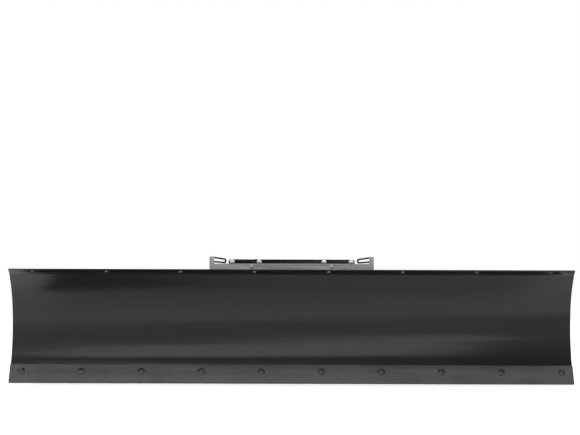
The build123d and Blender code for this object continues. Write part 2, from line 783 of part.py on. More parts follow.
boss_bore = kingpin / 2 + running_gap
boss_ends = ((0, kingpin_y, boss_low), (0, kingpin_y, boss_top))
save("kingpin_boss", tube(*boss_ends, kingpin_boss / 2, boss_bore))

gusset_x = 78.0
gusset_top = 10.0             # below the spring bar
gusset_depth = 8.0            # of its narrow upper end
gusset_slope = 90.0           # where its front edge leaves the cross plate, below the spring bar
gusset_heel = 12.0            # behind the kingpin, on the quadrant plate
gusset_face = Polygon(
    (tower_front, bar_low), (tower_front + gusset_depth, bar_low),
    (tower_front + gusset_depth, bar_low - gusset_top), (kingpin_y + gusset_heel, quadrant_top),
    (kingpin_y - fan_ahead, quadrant_top), (tower_front, bar_low - gusset_slope),
    align=None,
)
save("frame_gussets", *both_sides(lambda x: plate(gusset_face, x, tower_plate), gusset_x))


def bumper(x):
    face = (x, tower_front - bumper_length, stop_height)
    return rod(face, (x, tower_front, stop_height), bumper_radius)


save("stop_bumpers", *both_sides(bumper, frame_half_width))

# --- trip springs --------------------------------------------------------------------------
loop_turn = Rot(0, 90, 0)
hook_top = Vector(0, *spring_top)
coil_high = hook_top + spring_way * hook_reach
coil_low = hook_low - spring_way * hook_reach
wire = spring_wire / 2


def hook(x, middle, inner, coil_end):
    """A closed loop of the wire and its straight leg to the first coil."""
    shift = Vector(x, 0, 0)
    ring = Pos(*(middle + shift)) * loop_turn * Torus(inner + wire, wire)
    away = (coil_end - middle).normalized()
    return ring + rod(middle + shift + away * (inner + wire), coil_end + shift, wire)


def coil(x):
    """The close-wound part of a spring, as a plain tube."""
    shift = Vector(x, 0, 0)
    outer = spring_outside / 2
    return tube(coil_high + shift, coil_low + shift, outer, outer - spring_wire)


top_hooks = both_sides(lambda x: hook(x, hook_top, top_loop, coil_high), spring_offset)
save("spring_top_hooks", *top_hooks)
bottom_hooks = both_sides(lambda x: hook(x, hook_low, bottom_loop, coil_low), spring_offset)
save("spring_bottom_hooks", *bottom_hooks)
save("trip_spring_coils", *both_sides(coil, spring_offset))

# --- push head -----------------------------------------------------------------------------
coupler_front = coupler_rear - coupler
jaw_length = coupler_front - kingpin_y
jaw_block = Pos(0, kingpin_y) * Rectangle(2 * jaw_half_width, jaw_length, align=from_edge)
jaw_face = disc((0, kingpin_y), jaw_half_width) + jaw_block
jaw_face = jaw_face - disc((0, kingpin_y), kingpin / 2)
jaw_face = jaw_face - disc((0, lock_y), lock_pin / 2 + lock_pin_play)
save("upper_jaw", deck(jaw_face, jaw_high, jaw))
save("lower_jaw", deck(jaw_face, jaw_low, jaw))

web = 8.0
web_inset = 2.0               # from the jaws' long edges
web_behind_quadrant = 8.0
web_x = jaw_half_width - web / 2 - web_inset
web_front = kingpin_y + quadrant_radius + web_behind_quadrant
web_low = jaw_low + jaw
web_outline = Polygon(
    (web_front, web_low), (coupler_front, web_low), (coupler_front, jaw_high), (web_front, jaw_high),
    align=None,
)
save("head_webs", *both_sides(lambda x: plate(web_outline, x, web), web_x))

coupler_corner = 12.0
coupler_z = (jaw_low + jaw_high + jaw) / 2
coupler_outline = RectangleRounded(coupler_width, coupler_height, coupler_corner)
coupler_outline = Pos(0, coupler_z) * coupler_outline
for side in (-1, 1):
    for level in (-1, 1):
        place = (side * coupler_bolt_x / 2, coupler_z + level * coupler_bolt_z / 2)
        coupler_outline = coupler_outline - disc(place, coupler_hole / 2)
save("coupler_plate", extrude(Plane.XZ.offset(-coupler_rear) * coupler_outline, amount=coupler))

gusset_run = 46.0
gusset_rise = 26.0
gusset_nose = 4.0
upper_low = jaw_high + jaw


def coupler_gusset(x, base, up):
    outline = Polygon(
        (coupler_front, base), (coupler_front, base + up * gusset_rise),
        (coupler_front - gusset_nose, base + up * gusset_rise),
        (coupler_front - gusset_run, base + up * gusset_nose), (coupler_front - gusset_run, base),
        align=None,
    )
    return plate(outline, x, web)


upper_gussets = both_sides(lambda x: coupler_gusset(x, upper_low, 1), web_x)
lower_gussets = both_sides(lambda x: coupler_gusset(x, jaw_low, -1), web_x)
save("coupler_gussets", *upper_gussets, *lower_gussets)

kingpin_washer = 4.0
kingpin_washer_share = 0.92   # radius, as a share of the kingpin's diameter
kingpin_head = 15.0
kingpin_nut = 20.0
kingpin_flats = 36.0
kingpin_end = 5.0             # past the nut
washer_high = upper_low + kingpin_washer
washer_low = jaw_low - kingpin_washer
centre = (0, kingpin_y)
nut_low = washer_low - kingpin_nut
king = rod((*centre, nut_low - kingpin_end), (*centre, washer_high), kingpin / 2)
king_head = hexagon((*centre, washer_high), (*centre, washer_high + kingpin_head), kingpin_flats)
save("kingpin", king + king_head)
save("kingpin_nut", nut((*centre, washer_low), (*centre, nut_low), kingpin_flats, kingpin / 2))
washer_outer = kingpin * kingpin_washer_share
save(
    "kingpin_washers",
    tube((*centre, upper_low), (*centre, washer_high), washer_outer, kingpin / 2),
    tube((*centre, washer_low), (*centre, jaw_low), washer_outer, kingpin / 2),
)
save(
    "thrust_washers",
    tube((*centre, boss_top + thrust_play), (*centre, jaw_high), kingpin_boss / 2, kingpin / 2),
    tube((*centre, web_low), (*centre, boss_low - thrust_play), kingpin_boss / 2, kingpin / 2),
)

# --- lock pin ------------------------------------------------------------------------------
strap = 6.0
strap_depth = 30.0
strap_half = 27.0
strap_bend = 10.0
strap_top = upper_low + lock_bracket_height
strap_outline = Pos(0, upper_low) * Rectangle(2 * strap_half, lock_bracket_height, align=from_edge)
strap_outline = fillet(strap_outline.vertices().group_by(Axis.Y)[-1], strap_bend)
hollow_half = strap_half - strap
hollow_rise = lock_bracket_height - strap + overcut
strap_hollow = Pos(0, upper_low - overcut) * Rectangle(2 * hollow_half, hollow_rise, align=from_edge)
strap_hollow = fillet(strap_hollow.vertices().group_by(Axis.Y)[-1], strap_bend - strap)
strap_plane = Plane.XZ.offset(-lock_y - strap_depth / 2)
strap_piece = extrude(strap_plane * (strap_outline - strap_hollow), amount=strap_depth)
hole_low = (0, lock_y, strap_top - 2 * strap)
pin_hole = rod(hole_low, (0, lock_y, strap_top + strap), lock_pin / 2 + lock_pin_play)
save("lock_pin_bracket", strap_piece - pin_hole)

collar = 5.0
collar_radius = 13.0
collar_low = upper_low + stop_gap
spring_base = collar_low + collar
lift_over = 1.0               # what the pulled pin clears above the quadrant plate
tip_low = quadrant_top - lock_travel + lift_over
tip = 4.0                     # length of the tapered end
tip_taper = 2.0
lock_rise = 18.0              # of the pin above its bracket
lock_top = strap_top + lock_rise
pin_body = rod((0, lock_y, tip_low + tip), (0, lock_y, lock_top), lock_pin / 2)
pin_tip = Cone(lock_pin / 2 - tip_taper, lock_pin / 2, tip)
save("lock_pin_shaft", pin_body + Pos(0, lock_y, tip_low + tip / 2) * pin_tip)
pin_collar = tube((0, lock_y, collar_low), (0, lock_y, spring_base), collar_radius, lock_pin / 2)
save("lock_pin_collar", pin_collar)
handle_half = 40.0
handle_radius = 6.5
handle_seat = 1.0             # how far the pin's end stands into the handle
handle_z = lock_top + handle_radius - handle_seat
handle = rod((-handle_half, lock_y, handle_z), (handle_half, lock_y, handle_z), handle_radius)
for side in (-1, 1):
    handle = handle + Pos(side * handle_half, lock_y, handle_z) * Sphere(handle_radius)
handle_bore = rod((0, lock_y, strap_top), (0, lock_y, lock_top), lock_pin / 2)
save("lock_pin_handle", handle - handle_bore)
lock_spring_outer = 12.0
lock_spring_wire = 2.5
lock_spring_inner = lock_spring_outer - lock_spring_wire
spring_roof = (0, lock_y, strap_top - strap)
save("lock_spring", tube((0, lock_y, spring_base), spring_roof, lock_spring_outer, lock_spring_inner))

# --- skid shoes ----------------------------------------------------------------------------
skid_tube_top = skid_tube_low + skid_tube_length
nut_bore = skid_stem / 2 + running_gap
skid_flats = 30.0
stem_spare = 32.0             # thread above the upper nut
stem_low = 1.0                # the stem's lower end, above the dish's underside
stem_top = skid_tube_top + skid_nut + stem_spare


def skid_tube_at(x):
    bore = skid_stem / 2 + skid_tube_play
    return tube((x, skid_y, skid_tube_low), (x, skid_y, skid_tube_top), skid_tube / 2, bore)


def skid_nut_at(x, low):
    return nut((x, skid_y, low), (x, skid_y, low + skid_nut), skid_flats, nut_bore)


save("skid_tubes", *both_sides(skid_tube_at, skid_offset))
upper_nuts = both_sides(lambda x: skid_nut_at(x, skid_tube_top), skid_offset)
lower_nuts = both_sides(lambda x: skid_nut_at(x, skid_tube_low - skid_nut), skid_offset)
save("skid_nuts", *upper_nuts, *lower_nuts)

dish_thickness = 6.0
dish_flat = 38.0              # radius of the flat sole
dish_edge = 5.0               # height of the outer edge
dish_hub = 17.0
hub_flare = 3.0
hub_height = 20.0
rim = skid_dish / 2
dish_profile = Polyline(
    (skid_stem / 2, 0), (dish_flat, 0), (rim, skid_dish_rise), (rim, skid_dish_rise + dish_edge),
    (dish_flat, dish_thickness), (dish_hub + hub_flare, dish_thickness), (dish_hub, hub_height),
    (skid_stem / 2, hub_height),
    close=True,
)
dish = revolve(Plane.XZ * make_face(dish_profile), Axis.Z)
for name, side in (("left", -1), ("right", 1)):
    x = side * skid_offset
    save(f"skid_dish_{name}", Pos(x, skid_y, 0) * dish)
    save(f"skid_stem_{name}", rod((x, skid_y, stem_low), (x, skid_y, stem_top), skid_stem / 2))
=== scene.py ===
# %% [markdown]
# # A snow plow blade, and how its looks are built
# The design is already fixed: every plate, pin and hole has its size and place, and this lesson
# never moves one. It adds what a drawing leaves out: broken edges, weld beads, wound springs,
# threads, and paint that looks like paint.
#
# The first step loads the design as a fixed frame. All lengths below are in metres.

# %% Load the frame
import json
import math

import bmesh
import bpy
from mathutils import Matrix, Vector, noise
from mathutils.bvhtree import BVHTree


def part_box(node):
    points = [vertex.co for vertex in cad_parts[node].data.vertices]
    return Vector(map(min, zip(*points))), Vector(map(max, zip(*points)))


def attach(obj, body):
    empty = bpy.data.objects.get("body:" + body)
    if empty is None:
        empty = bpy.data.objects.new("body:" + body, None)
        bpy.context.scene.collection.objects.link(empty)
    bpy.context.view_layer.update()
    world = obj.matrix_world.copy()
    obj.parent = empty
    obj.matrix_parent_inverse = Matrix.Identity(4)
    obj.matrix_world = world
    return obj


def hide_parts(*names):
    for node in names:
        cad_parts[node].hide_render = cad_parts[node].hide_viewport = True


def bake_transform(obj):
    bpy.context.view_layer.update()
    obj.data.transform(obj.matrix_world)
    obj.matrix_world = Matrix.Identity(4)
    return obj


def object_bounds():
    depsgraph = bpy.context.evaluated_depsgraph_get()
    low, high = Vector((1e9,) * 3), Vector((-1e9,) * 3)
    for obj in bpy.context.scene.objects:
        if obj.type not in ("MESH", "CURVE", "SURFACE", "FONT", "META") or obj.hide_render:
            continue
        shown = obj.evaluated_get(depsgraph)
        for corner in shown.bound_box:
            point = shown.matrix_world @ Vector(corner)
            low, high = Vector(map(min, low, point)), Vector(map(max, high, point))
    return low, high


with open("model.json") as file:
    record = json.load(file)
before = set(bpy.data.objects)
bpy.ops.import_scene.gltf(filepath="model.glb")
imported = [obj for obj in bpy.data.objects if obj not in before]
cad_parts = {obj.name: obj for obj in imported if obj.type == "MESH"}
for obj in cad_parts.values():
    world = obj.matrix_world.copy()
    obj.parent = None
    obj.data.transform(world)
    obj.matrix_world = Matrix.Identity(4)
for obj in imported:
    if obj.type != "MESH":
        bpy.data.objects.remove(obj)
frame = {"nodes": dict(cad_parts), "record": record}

mm = 0.001
design_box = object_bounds()
print("design box", [[round(edge / mm, 1) for edge in corner] for corner in design_box])

# %% [markdown]
# ## The camera
# The blade is seen square on, from about knee height, by a long lens. A long lens far away keeps
# the blade's ends from splaying outwards, as a shorter one close by would make them do.
# The camera leans by a fifth of a degree, as a hand-held one does.

# %% Camera
eye_height = 0.538
eye_back = -5.740
eye_side = -0.006
lean = math.radians(-0.18)
long_lens = 105.7               # millimetres, on a film 36 wide
film_width = 36.0

eye = bpy.data.objects.new("camera", bpy.data.cameras.new("camera"))
eye.data.lens = long_lens
eye.data.sensor_width = film_width
eye.location = (eye_side, eye_back, eye_height)
eye.rotation_euler = (math.radians(90), lean, 0)
bpy.context.collection.objects.link(eye)
bpy.context.scene.camera = eye
bpy.context.scene.view_settings.view_transform = "Standard"
print("camera", round(-eye_back, 2), "m in front")

# %% [markdown]
# ## Light
# A studio shows a black object by what it mirrors, so the lamps matter more than the paint.
# A ring of equal panels would flatten the curve. Here one broad panel hangs high in front, and
# the curved sheet mirrors it as a brighter band along its foot. A narrow one overhead puts a
# glint on each bolt. Four more, above, left, right and behind, keep the ribs and the frame
# readable from every side.

# %% Lamps
lamp_target = Vector((0, 0, 0.2))


def soft_panel(name, place, width, height, power):
    """A flat lamp, in metres and watts, that faces the blade."""
    lamp = bpy.data.lights.new(name, "AREA")
    lamp.shape = "RECTANGLE"
    lamp.size = width
    lamp.size_y = height
    lamp.energy = power
    holder = bpy.data.objects.new(name, lamp)
    holder.location = place
    aim = lamp_target - Vector(place)
    holder.rotation_euler = aim.to_track_quat("-Z", "Y").to_euler()
    bpy.context.collection.objects.link(holder)


soft_panel("front_panel", (-0.4, -4.9, 3.35), 7.6, 2.5, 116)
soft_panel("crown_panel", (0.0, -0.5, 4.2), 5.0, 0.7, 70)
soft_panel("top_panel", (-0.4, 1.8, 4.4), 5.0, 3.6, 150)
soft_panel("left_panel", (-5.0, -2.2, 2.0), 2.4, 2.4, 30)
soft_panel("right_panel", (5.5, 0.6, 2.2), 2.4, 2.4, 30)
soft_panel("back_panel", (1.5, 5.0, 3.0), 4.0, 2.0, 110)
print("lamps", [lamp.name for lamp in bpy.data.lights])

# %% [markdown]
# ## Sums inside a material
# A material is a net of nodes. Drawing the net by hand hides the sum it works out, so a small
# class wraps each socket and lets plain Python sums build the nodes. `1 - mask` then adds a
# Math node by itself. Colours never go through Math nodes, which would turn them gray.

# %% Values and finishes
edge_samples = 4
corner_mask = (0.01, 0.16)      # how far the rounded and true directions disagree


class Value:
    """A number, colour or vector on its way through a finish."""

    def __init__(self, finish, socket):
        self.finish = finish
        self.socket = socket

    def sum(self, operation, first, second):
        return self.finish.node("ShaderNodeMath", {"operation": operation}, {0: first, 1: second})

    def __add__(self, other):
        return self.sum("ADD", self, other)

    def __radd__(self, other):
        return self.sum("ADD", other, self)

    def __sub__(self, other):
        return self.sum("SUBTRACT", self, other)

    def __rsub__(self, other):
        return self.sum("SUBTRACT", other, self)

    def __mul__(self, other):
        return self.sum("MULTIPLY", self, other)

    def __rmul__(self, other):
        return self.sum("MULTIPLY", other, self)

    def between(self, low, high):
        """0 below low, 1 above high, and a soft step from one to the other."""
        return self.finish.node(
            "ShaderNodeMapRange", {"interpolation_type": "SMOOTHSTEP"},
            {0: self, 1: low, 2: high, 3: 0.0, 4: 1.0},
        )

    def colours(self, first, second):
        """The first colour where this mask is 0 and the second where it is 1."""
        ends = [end if isinstance(end, Value) else (*end, 1) for end in (first, second)]
        return self.finish.node(
            "ShaderNodeMix", {"data_type": "RGBA"}, {0: self, 6: ends[0], 7: ends[1]}, output=2
        )


class Finish:
    """One material: a shader, and the nodes that feed it."""

    def __init__(self, name, metal=0.0, gloss=0.5):
        self.material = bpy.data.materials.new(name)
        self.material.use_nodes = True
        self.tree = self.material.node_tree
        self.shader = self.tree.nodes["Principled BSDF"]
        self.shader.inputs["Metallic"].default_value = metal
        self.shader.inputs["Specular IOR Level"].default_value = gloss

    def node(self, kind, settings=None, sockets=None, output=0):
        made = self.tree.nodes.new(kind)
        for name, value in (settings or {}).items():
            setattr(made, name, value)
        for name, value in (sockets or {}).items():
            if isinstance(value, Value):
                self.tree.links.new(value.socket, made.inputs[name])
            else:
                made.inputs[name].default_value = value
        return Value(self, made.outputs[output])

    def feed(self, **inputs):
        for name, value in inputs.items():
            self.tree.links.new(value.socket, self.shader.inputs[name.replace("_", " ")])

    def place(self, stretch=(1, 1, 1)):
        """The point of the piece, in metres, that is being painted."""
        spot = self.node("ShaderNodeTexCoord", output="Object")
        return self.node("ShaderNodeVectorMath", {"operation": "MULTIPLY"}, {0: spot, 1: stretch})

    def clouds(self, size, detail=2.0, stretch=(1, 1, 1)):
        """Soft blotches of the given size; a stretch below 1 draws them out along that axis."""
        return self.node(
            "ShaderNodeTexNoise", {"noise_dimensions": "3D"},
            {"Vector": self.place(stretch), "Scale": 1 / size, "Detail": detail},
        )

    def height(self, axis):
        """How far along an axis the painted point lies."""
        return self.node("ShaderNodeSeparateXYZ", sockets={0: self.place()}, output="XYZ".index(axis))

    def edges(self, reach):
        """A mask of the outer and inner corners, as wide as reach."""
        rounded = self.node("ShaderNodeBevel", {"samples": edge_samples}, {"Radius": reach})
        true = self.node("ShaderNodeNewGeometry", output="Normal")
        agree = self.node(
            "ShaderNodeVectorMath", {"operation": "DOT_PRODUCT"}, {0: rounded, 1: true}, output="Value",
        )
        return (1 - agree).between(*corner_mask)

    def relief(self, *layers):
        """Feeds the shader's normal with layers of (height, depth in metres)."""
        below = None
        for rise, depth in layers:
            sockets = {"Height": rise, "Distance": depth, "Strength": 1.0}
            if below:
                sockets["Normal"] = below
            below = self.node("ShaderNodeBump", sockets=sockets)
        self.feed(Normal=below)


print("finish tools ready")

# %% [markdown]
# ## Powder coat
# The blade and its push head are baked in black powder, and the swing frame in gray. Powder melts
# as it bakes and sets with a fine orange peel, a ripple of one or two millimetres. It runs thin on
# sharp corners, so the corners are painted a little lighter: thinner powder, and also a painted
# highlight along every edge. A handling haze clouds the gloss.
# One function makes both colours, since only the powder differs.

# %% Powder coat
finishes = {}
settled_dust = (0.30, 0.30, 0.29)


def powder_coat(name, colour, thin_coat_highlight_colour, roughness, gloss):
    finish = Finish(name, gloss=gloss)
    haze = finish.clouds(0.35, 3.0)
    peel = finish.clouds(2.2 * mm, 1.0)
    dust = finish.clouds(0.55 * mm, 0.0).between(0.74, 0.80)
    # Painted edge highlight and thinner powder: every corner is made a little lighter.
    corner = finish.edges(1.2 * mm) * finish.clouds(9 * mm, 2.0).between(0.35, 0.65)
    hazed = haze.between(0.3, 0.75).colours(colour, [1.22 * part for part in colour])
    dusty = (dust * 0.10).colours(hazed, settled_dust)
    finish.feed(
        Base_Color=(corner * 0.6).colours(dusty, thin_coat_highlight_colour),
        Roughness=roughness + (haze - 0.5) * 0.16 + dust * 0.2,
    )
    finish.relief((peel, 0.035 * mm), (haze, 0.2 * mm))
    finishes[name] = finish


powder_coat("black_powder_coat", (0.0060, 0.0060, 0.0066), (0.035, 0.035, 0.036), 0.23, 0.32)
powder_coat("gray_frame_paint", (0.30, 0.30, 0.305), (0.42, 0.42, 0.42), 0.46, 0.5)
print("powder coats", list(finishes))

# %% [markdown]
# ## The wear bar
# The bar that scrapes the ground is hot-rolled flat steel with one thin coat of matte paint. The
# rolling scale shows through as streaks along its length, and as shallow pits. The corners lose
# their paint first, most of all the long lower one. Here every corner turns to pale steel in patches,
# which is wear and also a painted highlight along the edges. The streaks are clouds drawn out along X.

# %% Wear bar paint
thin_paint = (0.038, 0.038, 0.040)
thick_paint = (0.060, 0.060, 0.062)
pit_paint = (0.030, 0.029, 0.028)
# Pale steel on the corners: scraped wear, and a painted edge highlight.
scraped_steel_and_highlight = (0.34, 0.33, 0.32)


def wear_bar_paint():
    finish = Finish("wear_bar_paint", gloss=0.45)
    streaks = finish.clouds(14 * mm, 4.0, (0.06, 1, 1))
    pits = finish.clouds(1.5 * mm, 4.0, (0.5, 1, 1)).between(0.56, 0.78)
    blotches = finish.clouds(90 * mm, 3.0)
    # Corners: bare-steel wear in patches, and a painted highlight along the edges.
    corner = finish.edges(1.6 * mm) * finish.clouds(7 * mm, 3.0).between(0.38, 0.60)
    tone = (0.5 * streaks + 0.5 * blotches).between(0.30, 0.70)
    painted = tone.colours(thin_paint, thick_paint)
    pitted = (pits * 0.4).colours(painted, pit_paint)
    finish.feed(
        Base_Color=(corner * 0.75).colours(pitted, scraped_steel_and_highlight),
        Roughness=0.52 + (streaks - 0.5) * 0.22 - corner * 0.12,
        Metallic=corner * 0.8,
    )
    finish.relief((streaks, 0.10 * mm), (1 - pits, 0.12 * mm))
    finishes["wear_bar_paint"] = finish


wear_bar_paint()
print("wear bar painted")

# %% [markdown]
# ## Plated, oiled and turned metal
# Bolts come from the shop already finished: black on those of the wear bar, bright zinc on the
# rest, and bare bronze or spring wire where parts rub. One function makes them all, and its
# numbers say how dark, how smooth, how grainy and how worn each one is. The black is a coating
# and not bare metal, so it mirrors less.

# %% Metals


def metal(name, dark, light, roughness, worn, grain=0.8 * mm, depth=0.015 * mm, metallic=1.0):
    finish = Finish(name, metal=metallic)
    blotches = finish.clouds(12 * mm, 3.0)
    crystals = finish.clouds(grain, 2.0)
    corner = finish.edges(0.8 * mm) * finish.clouds(4 * mm, 2.0).between(0.3, 0.6)
    skin = blotches.between(0.3, 0.7).colours(dark, light)
    finish.feed(
        Base_Color=(corner * 0.7).colours(skin, worn),
        Roughness=roughness + (blotches - 0.5) * 0.24 + (crystals - 0.5) * 0.14 - corner * 0.08,
    )
    finish.relief((crystals, depth))
    finishes[name] = finish


metal(
    "black_fasteners", (0.014, 0.014, 0.013), (0.026, 0.025, 0.024), 0.26, (0.16, 0.155, 0.15), metallic=0.0,
)
metal("zinc_hardware", (0.46, 0.47, 0.49), (0.62, 0.62, 0.60), 0.34, (0.72, 0.72, 0.72))
metal("spring_steel", (0.34, 0.35, 0.37), (0.50, 0.50, 0.51), 0.33, (0.62, 0.62, 0.62), grain=0.5 * mm)
metal("bronze", (0.42, 0.26, 0.11), (0.56, 0.37, 0.18), 0.36, (0.70, 0.50, 0.28))
print("metals", sorted(finishes))

# %% [markdown]
# ## Rubber, plastic and cast iron
# The bumpers are moulded rubber, dull and grainy with a pale bloom. The plugs of the square rail
# are ribbed black plastic. The shoes are cast in sand, so they are pebbled, painted black, and
# rubbed bright underneath where they slide. The rubbed part is found from the height of the point.

# %% Mouldings and castings
shoe_paint = ((0.016, 0.016, 0.017), (0.030, 0.029, 0.029))
rubbed_iron = (0.36, 0.35, 0.34)


def moulding(name, colour, bloom, roughness, grain, depth):
    finish = Finish(name, gloss=0.4)
    pebbles = finish.clouds(grain, 2.0)
    cloud = finish.clouds(20 * mm, 2.0).between(0.35, 0.75)
    finish.feed(
        Base_Color=(cloud * 0.6).colours(colour, bloom),
        Roughness=roughness + (pebbles - 0.5) * 0.2,
    )
    finish.relief((pebbles, depth))
    finishes[name] = finish


def shoe_iron():
    finish = Finish("shoe_iron")
    sand = finish.clouds(1.8 * mm, 3.0)
    lumps = finish.clouds(16 * mm, 2.0)
    scratches = finish.clouds(2.5 * mm, 2.0, (1, 0.08, 1))
    sole = 1 - finish.height("Z").between(1.0 * mm, 6.0 * mm)
    rubbed = (sole + (scratches - 0.5) * 0.9).between(0.45, 0.75)
    painted = lumps.colours(*shoe_paint)
    finish.feed(
        Base_Color=rubbed.colours(painted, rubbed_iron),
        Metallic=rubbed * 0.95,
        Roughness=0.62 - rubbed * 0.24 + (scratches - 0.5) * 0.15,
    )
    finish.relief((lumps, 0.5 * mm), (sand, 0.16 * mm))
    finishes["shoe_iron"] = finish


moulding("bumper_rubber", (0.016, 0.016, 0.016), (0.045, 0.044, 0.043), 0.78, 0.7 * mm, 0.05 * mm)
moulding("cap_plastic", (0.013, 0.013, 0.014), (0.020, 0.020, 0.021), 0.50, 0.4 * mm, 0.02 * mm)
shoe_iron()
print("finishes", len(finishes))

# %% [markdown]
# ## Floor and room
# The floor is one pale sheet that fades out into a white backdrop. The room is pure white to the
# eye but throws less light than it seems to, so that the lamps still shape the blade. It is
# brighter near the horizon than overhead, which the middle of the curved sheet mirrors.

# %% Floor and room
floor_half = 4.2
fade_start = 2.2
floor_tones = ((0.90, 0.90, 0.90), (0.93, 0.93, 0.93))
wall_top = 0.25                 # where the walls start to dim, as a share of straight up
ceiling_edge = 0.70             # where they are as dim as the ceiling


def pale_floor(glow):
    finish = Finish("pale_floor", gloss=0.2)
    mottle = finish.clouds(0.8, 3.0)
    spot = finish.place()
    away = finish.node("ShaderNodeVectorMath", {"operation": "LENGTH"}, {0: spot}, output="Value")
    finish.feed(
        Base_Color=mottle.colours(*floor_tones),
        Alpha=1 - away.between(fade_start, floor_half),
    )
    finish.shader.inputs["Roughness"].default_value = 0.85
    finish.shader.inputs["Emission Color"].default_value = (1, 1, 1, 1)
    finish.shader.inputs["Emission Strength"].default_value = glow
    mesh = bpy.data.meshes.new("floor")
    corners = [(-floor_half, -floor_half, 0), (floor_half, -floor_half, 0)]
    corners += [(floor_half, floor_half, 0), (-floor_half, floor_half, 0)]
    mesh.from_pydata(corners, [], [(0, 1, 2, 3)])
    mesh.materials.append(finish.material)
    floor = bpy.data.objects.new("floor", mesh)
    bpy.context.collection.objects.link(floor)


def white_room(seen, overhead, horizon):
    """A white backdrop that throws more light from the walls than from the ceiling."""
    world = bpy.data.worlds.new("room")
    world.use_nodes = True
    bpy.context.scene.world = world
    net = world.node_tree
    lamp = net.nodes["Background"]
    lamp.inputs["Color"].default_value = (1, 1, 1, 1)
    backdrop = net.nodes.new("ShaderNodeBackground")
    backdrop.inputs["Color"].default_value = (1, 1, 1, 1)
    backdrop.inputs["Strength"].default_value = seen
    way = net.nodes.new("ShaderNodeTexCoord")
    parts = net.nodes.new("ShaderNodeSeparateXYZ")
    rise = net.nodes.new("ShaderNodeMapRange")
    rise.interpolation_type = "SMOOTHSTEP"
    path = net.nodes.new("ShaderNodeLightPath")
    choose = net.nodes.new("ShaderNodeMixShader")
    for socket, value in ((1, wall_top), (2, ceiling_edge), (3, horizon), (4, overhead)):
        rise.inputs[socket].default_value = value
    net.links.new(way.outputs["Generated"], parts.inputs[0])
    net.links.new(parts.outputs["Z"], rise.inputs[0])
    net.links.new(rise.outputs[0], lamp.inputs["Strength"])
    net.links.new(path.outputs["Is Camera Ray"], choose.inputs[0])
    net.links.new(lamp.outputs[0], choose.inputs[1])
    net.links.new(backdrop.outputs[0], choose.inputs[2])
    net.links.new(choose.outputs[0], net.nodes["World Output"].inputs["Surface"])


pale_floor(glow=0.22)
white_room(seen=1.0, overhead=0.28, horizon=0.80)
print("floor and room ready")

# %% [markdown]
# ## Broken edges on the plates
# No real plate has a perfect corner: the shear, the torch and the powder all round it by half a
# millimetre, and that thin round is what catches the light. The design's meshes stay as they are,
# and modifiers do this on top: one joins the points, one merges flat triangles into whole faces,
# and one rounds every corner sharper than 32 degrees.

# %% Dress the design's pieces
slot_of_node = {}
for piece in frame["nodes"].values():
    slot_of_node[piece.name] = piece.material_slots[0].material.name
round_of_slot = {
    "black_powder_coat": 0.45, "gray_frame_paint": 0.55, "wear_bar_paint": 0.9, "black_fasteners": 0.3,
    "zinc_hardware": 0.35, "spring_steel": 0.3, "bronze": 0.2, "bumper_rubber": 0.8, "cap_plastic": 0.5,
    "shoe_iron": 0.8,
}
same_point = 0.002 * mm
flat_enough = math.radians(0.2)
sharp_corner = math.radians(32)


def dress(piece, slot):
    """Gives a piece of the design its finish and its broken edges."""
    piece.material_slots[0].material = finishes[slot].material
    mesh = piece.data
    mesh.normals_split_custom_set([(0, 0, 0)] * len(mesh.loops))
    mesh.shade_smooth()
    join = piece.modifiers.new("join", "WELD")
    join.merge_threshold = same_point
    flatten = piece.modifiers.new("flatten", "DECIMATE")
    flatten.decimate_type = "DISSOLVE"
    flatten.angle_limit = flat_enough
    ease = piece.modifiers.new("ease", "BEVEL")
    ease.limit_method = "ANGLE"
    ease.angle_limit = sharp_corner
    ease.width = round_of_slot[slot] * mm
    ease.segments = 2
    ease.use_clamp_overlap = False
    ease.harden_normals = True


for name, piece in frame["nodes"].items():
    dress(piece, slot_of_node[name])
print("dressed", len(frame["nodes"]), "pieces")

# %% [markdown]
# ## Reading places off the design
# Every added piece takes its place from the design. A node that groups equal pieces, such as ten
# bolts, is first taken apart into its separate solids. A bolt's axis then gives its two ends.

# %% Take a node apart


def loose_solids(name):
    """The points of each separate solid of a node, from left to right."""
    bm = bmesh.new()
    bm.from_mesh(frame["nodes"][name].data)
    bmesh.ops.remove_doubles(bm, verts=bm.verts, dist=same_point)
    left = set(bm.verts)
    solids = []
    while left:
        group = [left.pop()]
        for point in group:
            near = [edge.other_vert(point) for edge in point.link_edges]
            fresh = [other for other in near if other in left]
            left.difference_update(fresh)
            group.extend(fresh)
        solids.append([point.co.copy() for point in group])
    bm.free()
    return sorted(solids, key=lambda points: sum(point.x for point in points) / len(points))


def ends_along(points, axis):
    """The middle of a solid's tail, slid back to its head, and its length along the axis."""
    reach = [point.dot(axis) for point in points]
    tail = [point for point, far in zip(points, reach) if far > max(reach) - 0.1 * mm]
    middle = sum(tail, Vector()) / len(tail)
    length = max(reach) - min(reach)
    return middle - axis * length, length


def widest_face(name, facing):
    """The direction of the largest flat side of a node that looks towards facing."""
    area = {}
    for polygon in frame["nodes"][name].data.polygons:
        if polygon.normal.dot(Vector(facing)) > 0.2:
            key = tuple(round(part, 3) for part in polygon.normal)
            area[key] = area.get(key, 0.0) + polygon.area
    return Vector(max(area, key=area.get)).normalized()


print("carriage bolts found:", len(loose_solids("wear_bar_bolts")))

# %% [markdown]
# ## Skins made of rings
# A bolt, a wire, a thread and a weld bead are all the same kind of shape: a row of rings with a
# skin from each to the next and a lid at both ends. One function turns rings into a piece, and
# each kind of part only has to say where its rings lie.

# %% Rings into pieces


